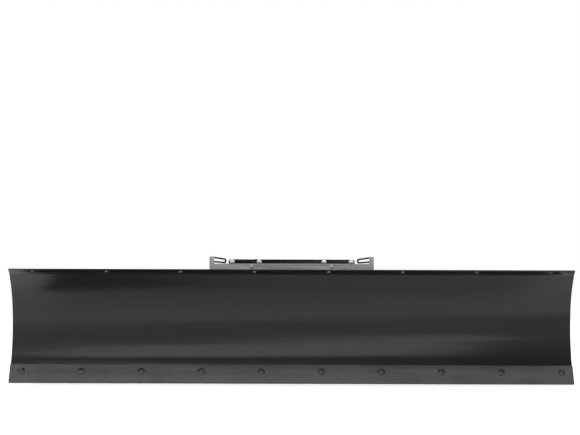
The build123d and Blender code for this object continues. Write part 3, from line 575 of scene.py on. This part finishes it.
def build_piece(name, skins, slot, body=None, replaces=(), crease=35):
    """A mesh of one or more skins, each a list of rings of equal length."""
    points = []
    faces = []
    for rings in skins:
        first = len(points)
        around = len(rings[0])
        for ring in rings:
            points.extend(ring)
        for row in range(len(rings) - 1):
            for step in range(around):
                here = first + row * around + step
                beside = first + row * around + (step + 1) % around
                faces.append((here, beside, beside + around, here + around))
        last = first + (len(rings) - 1) * around
        faces.append(tuple(range(first + around - 1, first - 1, -1)))
        faces.append(tuple(range(last, last + around)))
    mesh = bpy.data.meshes.new(name)
    mesh.from_pydata(points, [], faces)
    bm = bmesh.new()
    bm.from_mesh(mesh)
    bmesh.ops.recalc_face_normals(bm, faces=bm.faces)
    bm.to_mesh(mesh)
    bm.free()
    mesh.shade_smooth()
    mesh.set_sharp_from_angle(angle=math.radians(crease))
    mesh.materials.append(finishes[slot].material)
    piece = bpy.data.objects.new(name, mesh)
    bpy.context.collection.objects.link(piece)
    if replaces:
        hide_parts(*replaces)
    if body:
        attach(piece, body)
    return piece


def turned(profile, around=48):
    """Rings of a turned shape; the profile lists (radius, distance along the axis)."""
    turns = [2 * math.pi * step / around for step in range(around)]
    return [
        [Vector((radius * math.cos(turn), radius * math.sin(turn), along)) for turn in turns]
        for radius, along in profile
    ]


def placed(rings, start, axis):
    """Rings moved so that their own Z runs along axis from start."""
    turn = Vector(axis).to_track_quat("Z", "Y").to_matrix().to_4x4()
    where = Matrix.Translation(start) @ turn
    return [[where @ point for point in ring] for ring in rings]


print("rings ready")

# %% [markdown]
# ## Threads and bolt heads
# A thread is a helical groove. On a skin of rings it needs no helix at all: each ring stays flat,
# and every point's radius depends on how far it has come up the pitch, plus its share of a turn.
# The last turn tapers away, as a die leaves it. A hexagon head is a prism turned to a cone at its
# corners, so each point of its upper rim drops as far as its own radius asks.

# %% Thread and heads
thread_depth = 0.58             # of the pitch
thread_flank = 2.6              # how steeply the groove opens
thread_runout = 0.9             # of the pitch, where the end tapers
crown_share = 0.95              # a head's flat top, as a share of its half width
thin_rim = 0.9 * mm             # straight edge under a carriage bolt's dome


def thread(radius, pitch, start, end, around=32, rows=7):
    """Rings of a threaded rod from start to end, tapered at the end."""
    deep = thread_depth * pitch
    count = max(2, math.ceil((end - start) / pitch * rows))
    rings = []
    for row in range(count + 1):
        along = start + (end - start) * row / count
        ring = []
        for step in range(around):
            climb = (along / pitch - step / around) % 1
            crest = min(1.0, thread_flank * abs(climb - 0.5))
            taper = min(0.0, end - along - thread_runout * pitch)
            size = min(radius - deep * (1 - crest), radius + taper)
            turn = 2 * math.pi * step / around
            ring.append(Vector((size * math.cos(turn), size * math.sin(turn), along)))
        rings.append(ring)
    return rings


def hexagon_head(flats, high, around=72):
    """Rings of a bolt head: its turned top lies at 0 and its seat at high."""
    apothem = flats / 2
    face = crown_share * apothem
    rim = []
    seat = []
    for step in range(around):
        turn = 2 * math.pi * step / around
        reach = apothem / math.cos((turn + math.pi / 6) % (math.pi / 3) - math.pi / 6)
        drop = max(0.0, reach - face) * math.tan(math.radians(30))
        rim.append(Vector((reach * math.cos(turn), reach * math.sin(turn), drop)))
        seat.append(Vector((reach * math.cos(turn), reach * math.sin(turn), high)))
    return turned([(0.3 * face, 0), (face, 0)], around) + [rim, seat]


def domed_head(radius, high, steps=9):
    """Rings of a carriage bolt's head, from its crown down to its thin rim."""
    cap = high - thin_rim
    ball = (radius**2 + cap**2) / (2 * cap)
    widest = math.asin(radius / ball)
    profile = []
    for step in range(1, steps):
        angle = widest * step / steps
        profile.append((ball * math.sin(angle), ball * (1 - math.cos(angle))))
    profile += [(radius - 0.3 * mm, cap - 0.12 * mm), (radius, cap + 0.25 * mm), (radius, high)]
    return turned(profile)


print("thread and heads ready")

# %% [markdown]
# ## The carriage bolts of the wear bar
# A carriage bolt has a low dome outside and a square neck that stops it turning in the bar. Ten of
# them clamp bar, sheet and backing together, and can be changed when the bar wears out. The dome
# is what shows, so it gets a true crown and a thin rim; the tail behind gets a rolled thread.

# %% Carriage bolts
dome_radius = 12.3 * mm
dome_height = 5.4 * mm
carriage_shank = 5.0 * mm
carriage_pitch = 1.5 * mm
carriage_neck = 6.0 * mm
thread_from = 12 * mm           # behind the head
tucked_in = 0.3 * mm            # how far one skin starts inside the next
into_bar = -widest_face("wear_bar", (0, -1, 0.6))
eighth_turn = Matrix.Rotation(math.radians(45), 3, "Z")

head = domed_head(dome_radius, dome_height)
corner = carriage_shank * math.sqrt(2)
square = turned([(corner, dome_height - tucked_in), (corner, dome_height + carriage_neck)], 4)
neck = [[point.xyz @ eighth_turn for point in ring] for ring in square]
carriage_skins = []
for solid in loose_solids("wear_bar_bolts"):
    start, length = ends_along(solid, into_bar)
    shank = thread(carriage_shank, carriage_pitch, dome_height + thread_from, length)
    carriage_skins += [placed(rings, start, into_bar) for rings in (head, neck, shank)]
build_piece("carriage_bolts", carriage_skins, "black_fasteners", "blade", ["wear_bar_bolts"])
bolt_rake = math.degrees(math.asin(-into_bar.z))
print("carriage bolts", len(carriage_skins) // 3, "raked", round(bolt_rake, 1), "degrees")

# %% [markdown]
# ## Hexagon bolts: the kingpin and the spring lugs
# The kingpin is a plain pin with a thread for its nut, so it turns on smooth steel. The lug bolts
# carry the lower spring hooks in the same way. Their heads and threads are cut like any other
# hexagon bolt, so one function makes both from four measures.

# %% Hexagon bolts


def hexagon_bolts(name, node, axis, flats, head, radius, pitch, threaded, slot, body):
    """Every bolt of a node: a head, a plain shank that narrows into the thread, and the thread."""
    skins = []
    for solid in loose_solids(node):
        start, length = ends_along(solid, Vector(axis))
        cut = length - threaded
        plain = turned([(radius, head - 0.2 * mm), (radius, cut), (0.9 * radius, cut + 0.5 * pitch)])
        for rings in (hexagon_head(flats, head), plain, thread(radius, pitch, cut, length)):
            skins.append(placed(rings, start, axis))
    build_piece(name, skins, slot, body, [node])
    print(name, len(skins) // 3)


hexagon_bolts(
    "kingpin_bolt", "kingpin", (0, 0, -1), flats=36 * mm, head=15 * mm, radius=12 * mm, pitch=3 * mm,
    threaded=26 * mm, slot=slot_of_node["kingpin"], body="push_head",
)
hexagon_bolts(
    "lug_bolts", "spring_lug_bolts", (1, 0, 0), flats=18 * mm, head=7.5 * mm, radius=6 * mm, pitch=1.75 * mm,
    threaded=15 * mm, slot=slot_of_node["spring_lug_bolts"], body="blade",
)

# %% [markdown]
# ## Wound wire
# A spring is one wire, so it is swept as one: a ring is carried along a line of points and turned
# only as much as the line turns, which keeps it from twisting. The line of a spring is a helix
# whose ends draw in to the middle.

# %% Wire along a line


def swept(line, radius, around=14, wobble=None):
    """Rings of a round wire along a line of points; wobble(step) scales the radius."""
    rings = []
    side = None
    for step, point in enumerate(line):
        ahead = line[min(step + 1, len(line) - 1)]
        behind = line[max(step - 1, 0)]
        along = (ahead - behind).normalized()
        if side is None:
            side = along.orthogonal().normalized()
        side = (side - along * side.dot(along)).normalized()
        across = along.cross(side)
        size = radius * (wobble(step) if wobble else 1)
        ring = []
        for turn in (2 * math.pi * corner / around for corner in range(around)):
            ring.append(point + (side * math.cos(turn) + across * math.sin(turn)) * size)
        rings.append(ring)
    return rings


def with_round_ends(line, radius, rings):
    """The same wire with a small chamfer at both cut ends."""

    def lid(end, inner, ring):
        out = (end - inner).normalized() * 0.12 * radius
        return [end + (point - end) * 0.8 + out for point in ring]

    return [lid(line[0], line[1], rings[0])] + rings + [lid(line[-1], line[-2], rings[-1])]


print("wire ready")

# %% [markdown]
# ## The trip springs
# Two extension springs hold the blade upright until it hits something. Each is wound tight from
# zinc-plated wire, and its two ends are bent into hooks: the upper hook goes round the shaft, and
# the lower one hangs loosely on the lug bolt. As the blade trips, the coil stretches between
# them. Each hook rides on its own body, and the coil is attached to neither.

# %% Trip springs
joints = {joint["name"]: joint for joint in frame["record"]["behaviour"]["joints"]}
spring_wire = 4.0 * mm
spring_outside = 21.0 * mm
hook_reach = 40.0 * mm
upper_hook = 11.5 * mm
lower_hook = 14.0 * mm
shaft_middle = Vector(joints["spring_lean"]["pos_m"])
spring_way = Vector(joints["spring_stretch"]["axis"]).normalized()
spring_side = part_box("spring_bottom_hooks")[1].x - spring_wire
coil_top = shaft_middle + spring_way * hook_reach
hook_points = sum(loose_solids("spring_bottom_hooks"), [])
farthest = max((point - shaft_middle).dot(spring_way) for point in hook_points)
lower_middle = shaft_middle + spring_way * (farthest - lower_hook - spring_wire)
coil_foot = lower_middle - spring_way * hook_reach
sideways = Vector((1, 0, 0))
fore = spring_way.cross(sideways).normalized()


def coil_line(top, foot, pitch, radius, draw_in, steps=30):
    """A helix from top to foot whose first and last part turn draw in to its axis."""
    along = (foot - top).normalized()
    length = (foot - top).length
    turns = length / pitch
    count = int(turns * steps)
    line = []
    for step in range(count + 1):
        share = step / count
        turn = share * turns
        near = min(turn, turns - turn) / draw_in
        reach = radius * math.sin(min(near, 1.0) * math.pi / 2)
        angle = 2 * math.pi * turn
        out = fore * math.cos(angle) + sideways * math.sin(angle)
        line.append(top + along * length * share + out * reach)
    return line


def hook_line(middle, radius, towards, reach, bend_steps=60, leg_steps=8):
    """A loop round middle that leaves a gap, then a straight run out to the coil."""
    open_turn = math.radians(25)
    lead = towards.cross(sideways).normalized()
    line = []
    for step in range(bend_steps + 1):
        turn = open_turn + (2 * math.pi - open_turn) * step / bend_steps
        line.append(middle + towards * radius * math.cos(turn) + lead * radius * math.sin(turn))
    for step in range(1, leg_steps + 1):
        line.append(middle + towards * (radius + (reach - radius) * step / leg_steps))
    return line


def spring_pair(centre_line):
    """The wire of both springs, from the line of one on the middle of the blade."""
    skins = []
    for side in (-spring_side, spring_side):
        line = [point + sideways * side for point in centre_line]
        skins.append(with_round_ends(line, spring_wire, swept(line, spring_wire)))
    return skins


coil_gap = 0.25 * mm
drawn_in = 0.55                 # turns
coil_pitch = 2 * spring_wire + coil_gap
coil = coil_line(coil_top, coil_foot, coil_pitch, spring_outside - spring_wire, drawn_in)
coils = build_piece(
    "trip_spring_wire", spring_pair(coil), "spring_steel", replaces=["trip_spring_coils"], crease=60,
)
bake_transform(coils)
build_piece(
    "trip_spring_upper_hooks", spring_pair(hook_line(shaft_middle, upper_hook, spring_way, hook_reach)),
    "spring_steel", "spring_guide", ["spring_top_hooks"], crease=60,
)
build_piece(
    "trip_spring_lower_hooks", spring_pair(hook_line(lower_middle, lower_hook, -spring_way, hook_reach)),
    "spring_steel", "spring_tip", ["spring_bottom_hooks"], crease=60,
)
print("trip spring coil", round((coil_foot - coil_top).length / mm, 1), "mm long")

# %% [markdown]
# ## The lock pin's spring
# A small compression spring pushes the lock pin down into the quadrant. Its end turns are closed
# so that it stands square. It squeezes as the pin is pulled; here it is attached to no body.

# %% Lock spring
lock_low, lock_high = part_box("lock_spring")
lock_wire = 1.25 * mm
lock_middle = (lock_low + lock_high) / 2
lock_reach = (lock_high.x - lock_low.x) / 2 - lock_wire
lock_turns = 9
closed_turns = 1.0              # at each end
steps_a_turn = 32


def lock_spring_line():
    """A helix that climbs one wire a turn at its ends and evenly between them."""
    wound = lock_turns - 2 * closed_turns
    free = lock_high.z - lock_low.z - 2 * lock_wire * (1 + 2 * closed_turns)
    line = []
    for step in range(lock_turns * steps_a_turn + 1):
        turn = step / steps_a_turn
        open_turns = min(max(turn - closed_turns, 0), wound)
        shut = (turn - open_turns) * 2 * lock_wire
        up = lock_low.z + lock_wire + shut + free * open_turns / wound
        angle = 2 * math.pi * turn
        out = Vector((math.cos(angle), math.sin(angle), 0)) * lock_reach
        line.append(Vector((lock_middle.x, lock_middle.y, up)) + out)
    return line


line = lock_spring_line()
lock_coil = build_piece(
    "lock_spring_wire", [with_round_ends(line, lock_wire, swept(line, lock_wire, 10))], "spring_steel",
    replaces=["lock_spring"], crease=60,
)
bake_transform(lock_coil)
print("lock spring", lock_turns, "turns")

# %% [markdown]
# ## The skid stems
# Each shoe stands on a threaded rod between two nuts, which sets how high the bar rides. The foot
# of the rod is plain where it is pressed into the shoe's hub.

# %% Threaded stems
stem_pitch = 2.5 * mm
plain_foot = 21 * mm
stem_margin = 0.1 * mm
for side in ("left", "right"):
    low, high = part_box(f"skid_stem_{side}")
    foot = Vector(((low.x + high.x) / 2, (low.y + high.y) / 2, low.z))
    stem = (high.x - low.x) / 2 - stem_margin
    tall = high.z - low.z
    plain = turned([(stem, 0), (stem, plain_foot)], 32)
    threaded = thread(stem, stem_pitch, plain_foot - stem_margin, tall)
    skins = [placed(rings, foot, (0, 0, 1)) for rings in (plain, threaded)]
    node = f"skid_stem_{side}"
    build_piece(f"stem_{side}", skins, slot_of_node[node], f"skid_{side}", [node])
print("stems", round(tall / mm), "mm tall")

# %% [markdown]
# ## The stop bumpers
# Rubber buffers on the towers take the knock when the blade swings back upright. A moulded buffer
# has a wide foot, a waist that can bulge, and a domed nose. It is a turned shape.

# %% Bumpers
bumper_skins = []
for solid in loose_solids("stop_bumpers"):
    start, length = ends_along(solid, Vector((0, 1, 0)))
    size = max(abs(point.x - start.x) for point in solid)
    nose = [(0.30, 0.0), (0.52, 0.012), (0.68, 0.05), (0.79, 0.12), (0.84, 0.22), (0.82, 0.40)]
    waist = [(0.80, 0.55), (0.84, 0.68), (0.93, 0.76), (0.99, 0.82), (1.0, 0.88), (1.0, 1.0)]
    rings = turned([(share * size, along * length) for share, along in nose + waist], 40)
    bumper_skins.append(placed(rings, start, (0, 1, 0)))
build_piece("rubber_bumpers", bumper_skins, "bumper_rubber", "swing_frame", ["stop_bumpers"])
print("bumpers", len(bumper_skins))

# %% [markdown]
# ## Weld beads
# The plates are joined by fillet welds. A welder lays a bead as a row of overlapping puddles, so
# its surface is rippled every couple of millimetres. Long seams are stitched, a run and a gap,
# so that the thin sheet doesn't pull. The seams needn't be drawn: wherever a corner of one plate
# lies on the surface of another, there is a seam. The bead is a thick wire laid along it, half of
# it buried in the corner.

# %% Find the seams
least_corner = math.radians(25)
along_edge = (0.02, 0.5, 0.98)  # where an edge is tested


def surface_of(name):
    mesh = frame["nodes"][name].data
    points = [point.co for point in mesh.vertices]
    return BVHTree.FromPolygons(points, [face.vertices for face in mesh.polygons])


def seam_chains(name, others, touch=0.12 * mm):
    """Lines of points where the corners of one node lie on the surfaces of the others."""
    surfaces = [surface_of(other) for other in others]
    bm = bmesh.new()
    bm.from_mesh(frame["nodes"][name].data)
    bmesh.ops.remove_doubles(bm, verts=bm.verts, dist=same_point)
    links = {}
    for edge in bm.edges:
        if len(edge.link_faces) != 2 or edge.calc_face_angle(0) < least_corner:
            continue
        a, b = (point.co for point in edge.verts)
        spots = [a.lerp(b, share) for share in along_edge]
        if any(all(skin.find_nearest(spot)[3] < touch for spot in spots) for skin in surfaces):
            for point, other in (edge.verts, reversed(edge.verts)):
                links.setdefault(point.index, []).append(other.index)
    places = {point.index: point.co.copy() for point in bm.verts}
    bm.free()
    chains = []
    used = set()
    starts = sorted(links, key=lambda point: (len(links[point]) != 1, point))
    for start in starts:
        for onward in links[start]:
            if (start, onward) in used:
                continue
            chain = [start, onward]
            used.update([(start, onward), (onward, start)])
            while True:
                ways = [way for way in links[chain[-1]] if (chain[-1], way) not in used]
                if len(ways) != 1 and len(links[chain[-1]]) != 2 or not ways:
                    break
                used.update([(chain[-1], ways[0]), (ways[0], chain[-1])])
                chain.append(ways[0])
            chains.append([places[point] for point in chain])
    return chains


def evenly(chain, step):
    """The same line with points a step apart."""
    spots = [chain[0]]
    left = step
    for a, b in zip(chain, chain[1:]):
        run = (b - a).length
        while left <= run:
            spots.append(a.lerp(b, left / run))
            left += step
        left -= run
    return spots


print("seams of an end rib:", len(seam_chains("end_ribs", ["moldboard"])))

# %% [markdown]
# ## Laying the beads
# Each row below names the corners that are welded and what they are welded to. Short seams get
# one bead all the way. Longer ones get a bead every ten centimetres and one at the far end.

# %% Lay the beads
ripple = 2.4 * mm
steps_a_ripple = 3
bead_step = ripple / steps_a_ripple
stitch = 42 * mm
stitch_gap = 58 * mm
shortest_bead = 6               # steps
stitched_above = 2.5            # a seam longer than this many beads is stitched
drift_scale = 90                # unevenness of the hand, in waves to the metre
seam_list = {
    "blade_welds": ("blade", "black_powder_coat", 2.3 * mm, [
        ("end_ribs", ["moldboard", "top_rail", "backing_bar"]),
        ("pivot_ribs", ["moldboard", "top_rail", "backing_bar"]),
        ("skid_ribs", ["moldboard", "top_rail", "backing_bar"]),
        ("spring_lugs", ["moldboard", "top_rail"]),
        ("stop_plates", ["pivot_ribs"]),
        ("skid_ribs", ["skid_tubes"]),
        ("top_rail", ["moldboard"]),
        ("backing_bar", ["moldboard"]),
    ]),
    "frame_welds": ("swing_frame", "gray_frame_paint", 2.6 * mm, [
        ("tower_plates", ["cross_plate", "hinge_bosses"]),
        ("quadrant_plate", ["tower_plates", "kingpin_boss"]),
        ("frame_gussets", ["cross_plate", "quadrant_plate"]),
        ("side_loops", ["tower_plates"]),
    ]),
    "head_welds": ("push_head", "black_powder_coat", 2.8 * mm, [
        ("head_webs", ["upper_jaw", "lower_jaw", "coupler_plate"]),
        ("upper_jaw", ["coupler_plate"]),
        ("lower_jaw", ["coupler_plate"]),
        ("coupler_gussets", ["coupler_plate", "upper_jaw", "lower_jaw"]),
        ("lock_pin_bracket", ["upper_jaw"]),
    ]),
}


def bead(line, radius):
    """A rippled bead along a line, thin at both ends."""
    last = len(line) - 1

    def puddle(step):
        wave = (step % steps_a_ripple) / steps_a_ripple
        end = min(1.0, 0.35 + 0.3 * min(step, last - step))
        drift = noise.noise(line[step] * drift_scale) * 0.08
        return end * (1.06 - 0.16 * wave + drift)

    return swept(line, radius, 10, puddle)


def clear_runs(line, radius):
    """The parts of a line whose bead would stay between the ends of the blade."""
    limit = design_box[1].x - radius
    runs = [[]]
    for point in line:
        if abs(point.x) < limit:
            runs[-1].append(point)
        elif runs[-1]:
            runs.append([])
    return [run for run in runs if len(run) > shortest_bead]


def lay_beads(radius, seams):
    """The beads of every seam in a list, stitched where a seam is long."""
    beads = []
    run = int(stitch / bead_step)
    cycle = int((stitch + stitch_gap) / bead_step)
    for name, others in seams:
        chains = seam_chains(name, others)
        for line in sum([clear_runs(evenly(chain, bead_step), radius) for chain in chains], []):
            if len(line) < stitched_above * run:
                beads.append(bead(line, radius))
                continue
            for start in range(0, len(line) - 2 * run, cycle):
                beads.append(bead(line[start:start + run], radius))
            beads.append(bead(line[-run:], radius))
    return beads


for name, (body, slot, radius, seams) in seam_list.items():
    beads = lay_beads(radius, seams)
    build_piece(name, beads, slot, body, crease=80)
    print(name, len(beads), "beads,", round(sum(len(one) for one in beads) * bead_step, 1), "m")
